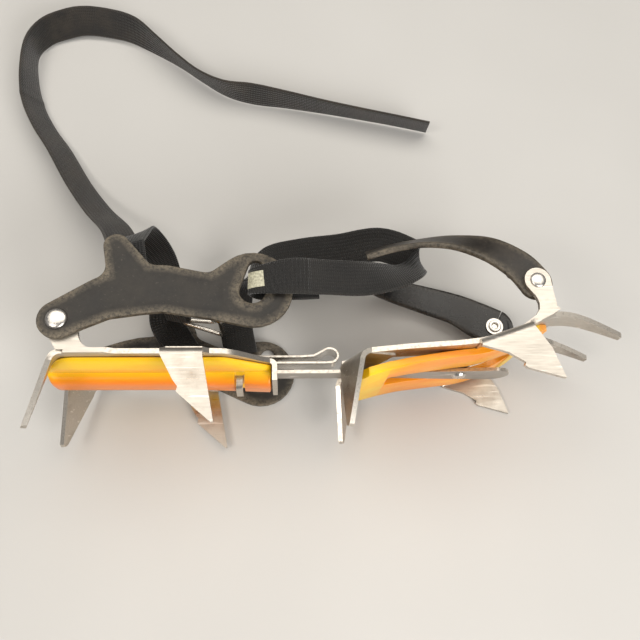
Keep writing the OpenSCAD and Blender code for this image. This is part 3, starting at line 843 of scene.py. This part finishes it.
def make_toe_plate(materials):
    obj = rounded_copy("toe_antiball_plate", "toe_plate_moulding",
                       [materials["antiball_plastic"]], 1.1, 4, cuts=GRID_STEP)
    mesh = obj.data
    points = working(mesh)
    below = smooth_step((-vertex_normals(mesh)[:, 1] - 0.4) / 0.4)
    # A rounded bead runs along each side of the underside
    off_middle = np.abs(points[:, 2])
    bead = np.exp(-((off_middle - 26.3) / 3.2) ** 4)
    shift(mesh, 1, -1.3 * bead * below)
    # Painted shade: lit yellow on the bead, darker in the crease on the underside
    crease = np.exp(-((off_middle - 22.2) / 1.0) ** 2)
    set_attribute(obj, "painted_shade_and_wear", 0.5 - 0.44 * bead + 0.3 * crease * below)
    shade(obj, 50)
    finish_piece(obj, "toe_section", ["toe_antiball_plate"])


# ---------------------------------------------------------------- heel arms

# An arm's outline from its rivet: each link wraps two circles, as centre, radius, centre, radius
ARM_LINKS = [((0, 0), 9.2, (20, 11), 10.5), ((20, 11), 10.5, (36, 16), 12.5),
             ((36, 16), 12.5, (48, 17), 12), ((48, 17), 12, (72, 13.5), 11.5),
             ((72, 13.5), 11.5, (90.5, 18), 19.4)]
NEAR_BRANCH = ((33, 20), 11.5, (24.2, 38.2), 6.2)
FAR_BRANCH = ((38, 17), 11.5, (41, 30), 6.2)
ARM_HOLE = ((90, 17), 6.5, (91.5, 29), 4)
FAR_ARM_TURN = -14.5     # degrees


def link_distance(points, a, ra, b, rb):
    """Distance outside a link, the shape that wraps two circles."""
    a, b = np.array(a, float), np.array(b, float)
    line = b - a
    t = np.clip(((points - a) @ line) / (line @ line), 0, 1)
    return np.linalg.norm(points - (a + t[:, None] * line), axis=1) - (ra + (rb - ra) * t)


def make_arm(side, turn, branch, materials):
    """A heel arm: the CAD outline with a rounded edge, a raised lip round the ring's hole, a rim
    round the rivet, and a shallow hollow along the body."""
    node = "heel_arm_" + side
    obj = rounded_copy(node, node + "_moulding", [materials["arm_mould"]], 0.85, 4,
                       cuts=GRID_STEP)
    mesh = obj.data
    points = working(mesh)
    flat = points[:, :2] - np.array(HEEL_PIVOT)
    angle = math.radians(-turn)
    spin = np.array([[math.cos(angle), -math.sin(angle)], [math.sin(angle), math.cos(angle)]])
    local = flat @ spin.T
    inside = -np.min([link_distance(local, *link) for link in [*ARM_LINKS, branch]], axis=0)
    hole = link_distance(local, *ARM_HOLE)
    edge = np.minimum(inside, hole)
    facing = vertex_normals(mesh)[:, 2]
    lip = 1.0 * np.exp(-((hole - 2.3) / 1.5) ** 2)
    lip += 0.5 * np.exp(-((hole - 6.8) / 1.3) ** 2)
    reach = np.linalg.norm(local, axis=1)
    rim = 0.55 * np.exp(-((reach - 7.3) / 0.9) ** 2)
    hollow = 0.5 * smooth_step((inside - 3.4) / 2.4)
    hollow *= smooth_step((reach - 9.5) / 4) * smooth_step((hole - 8) / 3)
    height = (lip + rim - hollow) * smooth_step((inside - 0.9) / 0.8)
    # The side that lies towards the floor is only ever sunk in
    height[facing < 0] = np.minimum(height[facing < 0], 0)
    height *= smooth_step((np.abs(facing) - 0.75) / 0.2) * np.sign(facing)
    shift(mesh, 2, height)
    worn = np.minimum(edge, np.abs(hole - 2.6) + 1.4) * MM
    set_attribute(obj, "edge", worn)
    shade(obj, 50)
    finish_piece(obj, "heel_harness", [node])


# ---------------------------------------------------------------- straps and webbing

def eye_rows(pivot, heading, s, radius, count=7):
    """Rows of the round end of a strap, from its tip to the middle of its eye."""
    heading = Vector(heading).normalized()
    across = Vector((-heading.y, heading.x))
    rows = []
    for k in range(count):
        back = radius * math.cos(math.radians(90 * (k + 0.35) / count))
        width = 2 * math.sqrt(max(radius ** 2 - back ** 2, 0.3))
        rows.append([pivot[0] - heading.x * back, pivot[1] - heading.y * back, s,
                     across.x, across.y, 0, width])
    return rows


def hold_toe_strap(obj, node):
    """Keeps a toe strap where it was built, in the scene's frame, and hides its CAD node."""
    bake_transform(obj)
    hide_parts(node)


def make_toe_straps(materials):
    def relief(sign):
        def height(u, v, side, points):
            reach = np.hypot(points[..., 0] - TOE_PIVOT[0], points[..., 1] - TOE_PIVOT[1])
            behind = smooth_step((TOE_PIVOT[0] - 6 - points[..., 0]) / 3)
            crescent = 1.1 * np.exp(-((reach - 13.2) / 1.2) ** 2) * behind
            rim = 0.5 * np.exp(-((reach - 7.6) / 0.8) ** 2)
            groove = 0.3 * np.exp(-(v / 1.1) ** 2) * smooth_step((reach - 16) / 6)
            return (crescent + rim + groove) * (side * sign > 0.9)
        return height

    near = eye_rows(TOE_PIVOT, (-0.45, 0.9), 34.9, 8.6)
    near += [[105.3, 35.4, 34.9, -0.85, -0.5, 0, 17.4], [98.3, 44, 34.5, -0.7, -0.7, 0, 16.5],
             [86, 53.5, 31.5, -0.35, -0.9, 0.25, 15.5], [70, 59.5, 27, -0.1, -0.75, 0.65, 14],
             [54, 61.5, 22, 0, -0.55, 0.83, 14], [38, 60.5, 17, 0, -0.5, 0.86, 15],
             [25, 57.5, 14, 0, -0.5, 0.86, 15]]
    for row in near[:7]:
        row[3], row[4] = -0.88, -0.47
    obj, _ = strip_mesh("toe_strap_near_moulding", near, MOULD_THICK,
                        materials["strap_mould"], 0.8, relief(-1), 15)
    hold_toe_strap(obj, "toe_strap_near")
    far = eye_rows(TOE_PIVOT, (-0.89, 0.45), -34.9, 11.8)
    far += [[105.2, 34, -34.9, 0.45, 0.89, 0, 23.4], [96, 38.7, -35, 0.45, 0.89, 0, 22.5],
            [84, 45.5, -36, 0.45, 0.89, 0, 19.5], [66, 52, -37.5, 0.3, 0.95, 0, 17.5],
            [46, 56.5, -34, 0.2, 0.95, 0.1, 14], [33, 58.5, -28, 0.1, 0.95, 0.2, 11],
            [30.5, 58.7, -27, 0.1, 0.95, 0.2, 6]]
    obj, _ = strip_mesh("toe_strap_far_moulding", far, MOULD_THICK,
                        materials["glossy_mould"], 0.8, relief(1), 15)
    hold_toe_strap(obj, "toe_strap_far")


# Rows of x, y, s, the direction of the width, and the width. The instep webbing is one run: from
# its sewn end inside the near ring, out round the ring's rim, along to the toe straps' loop, and
# back behind to the far ring
WEBBING_ROWS = [
    [-2, 38, 25.5, 0, 1, 0, 19], [-14, 37, 26.5, 0, 1, 0, 19], [-30, 34.8, 26.9, 0, 1, 0, 15],
    [-36, 34.8, 31.4, 0, 1, 0, 13], [-30, 34.8, 35.9, 0, 1, 0, 15], [-14, 37, 35, 0, 1, 0, 19],
    [2, 38.5, 30, 0, 1, 0, 19], [20, 39.5, 26, 0, 1, 0, 19],
    [37, 42.6, 22, -0.1, 0.9, -0.42, 19], [46.5, 46.5, 18.5, -0.2, 0.8, -0.55, 16],
    [51.8, 51.5, 14.5, -0.2, 0.9, -0.38, 12.5], [54, 57.5, 9, -0.15, 0.95, -0.1, 14],
    [50.5, 63, 4.5, -0.15, 0.97, 0.1, 18],
    [34, 71, 0, 0, 0.9, 0.4, 19], [12, 69, -4, 0, 0.9, 0.4, 19],
    [-10, 68, -8, 0.1, 0.9, 0.3, 19], [-30, 65, -13, 0.4, 0.85, 0.1, 19],
    [-44, 53, -22, 0.7, 0.7, 0, 19], [-47, 36, -31, 0.9, 0.4, 0, 19],
    [-44, 18, -38, 0.95, 0.3, 0, 19]]
STRAP_ROWS = [
    [-97, 46, 29, 0.7, 0.7, 0, 19], [-98, 57, 27, 0.8, 0.6, 0, 19],
    [-94.5, 68, 16, 0.8, 0.4, -0.2, 17.5], [-86.7, 64, -6, 0.8, 0.5, 0, 15.5],
    [-86, 51, -24, 0.8, 0.5, 0, 19], [-88, 38, -34, 0.85, 0.4, 0, 19],
    [-83, 28.5, -37, 0.9, 0.3, 0, 19], [-77, 19, -38.7, 0.9, 0.3, 0, 19]]


def make_webbing(materials):
    def bar_tacks(u, v, side, points):
        # Rows of stitching across the tape where it is sewn back on itself
        x = points[..., 0]
        inside = smooth_step((x + 27.5) / 1.0) * smooth_step((-5.5 - x) / 1.0)
        outer = (points[..., 2] > 29) & (side > 0.9)
        ribs = 0.5 + 0.5 * np.cos(2 * math.pi * (x + 27) / 1.95)
        return outer * inside * (0.15 + 0.5 * ribs)

    obj, rows = strip_mesh("instep_webbing_tape", WEBBING_ROWS, WEB_THICK,
                           materials["webbing"], 0.5, bar_tacks)
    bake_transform(obj)
    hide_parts("instep_webbing_front", "instep_webbing_back")
    obj, _ = strip_mesh("heel_strap_tape", STRAP_ROWS, WEB_THICK,
                        materials["strap_webbing"], 0.7)
    finish_piece(obj, "heel_harness", ["heel_strap"])
    obj = rounded_copy("buckle_keeper", "buckle_keeper_tape", [materials["webbing"]], 0.5, 3,
                       cuts=1.5)
    points = coordinates(obj.data)
    strip = np.stack([points[:, 0] + points[:, 1], points[:, 2] - points[:, 2].mean(),
                      np.ones(len(points))], 1)
    set_attribute(obj, "strip", strip, "FLOAT_VECTOR")
    finish_piece(obj, "heel_harness", ["buckle_keeper"])
    make_patch(materials, rows)


def make_patch(materials, rows):
    """Plain pale patch sewn on the fold of the webbing inside the ring's hole."""
    _, _, face = strip_frames(rows)
    lifted = rows.copy()
    lifted[:, :3] += face * (WEB_THICK / 2 + 0.25)
    chosen = lifted[(rows[:, 2] > 32.6) & (rows[:, 0] < -28.2)]
    chosen[:, 6] = 8.5
    obj, _ = strip_mesh("sewn_patch", chosen[::4], 0.5, materials["patch"], 0.5)
    finish_piece(obj, "heel_harness")


def make_floor(materials):
    mesh = bpy.data.meshes.new("floor")
    corners = [(x * FLOOR_HALF, y * FLOOR_HALF, 0) for x, y in ((-1, -1), (1, -1), (1, 1), (-1, 1))]
    mesh.from_pydata(corners, [], [(0, 1, 2, 3)])
    new_object("floor", mesh, [materials["floor"]])


make_camera()
materials = make_materials()
make_tail(materials)
make_lights()
make_floor(materials)
make_steel(materials)
make_rivets(materials)
make_rings(materials)
make_heel_plate(materials)
make_toe_plate(materials)
make_arm("near", 0, NEAR_BRANCH, materials)
make_arm("far", FAR_ARM_TURN, FAR_BRANCH, materials)
make_toe_straps(materials)
make_webbing(materials)
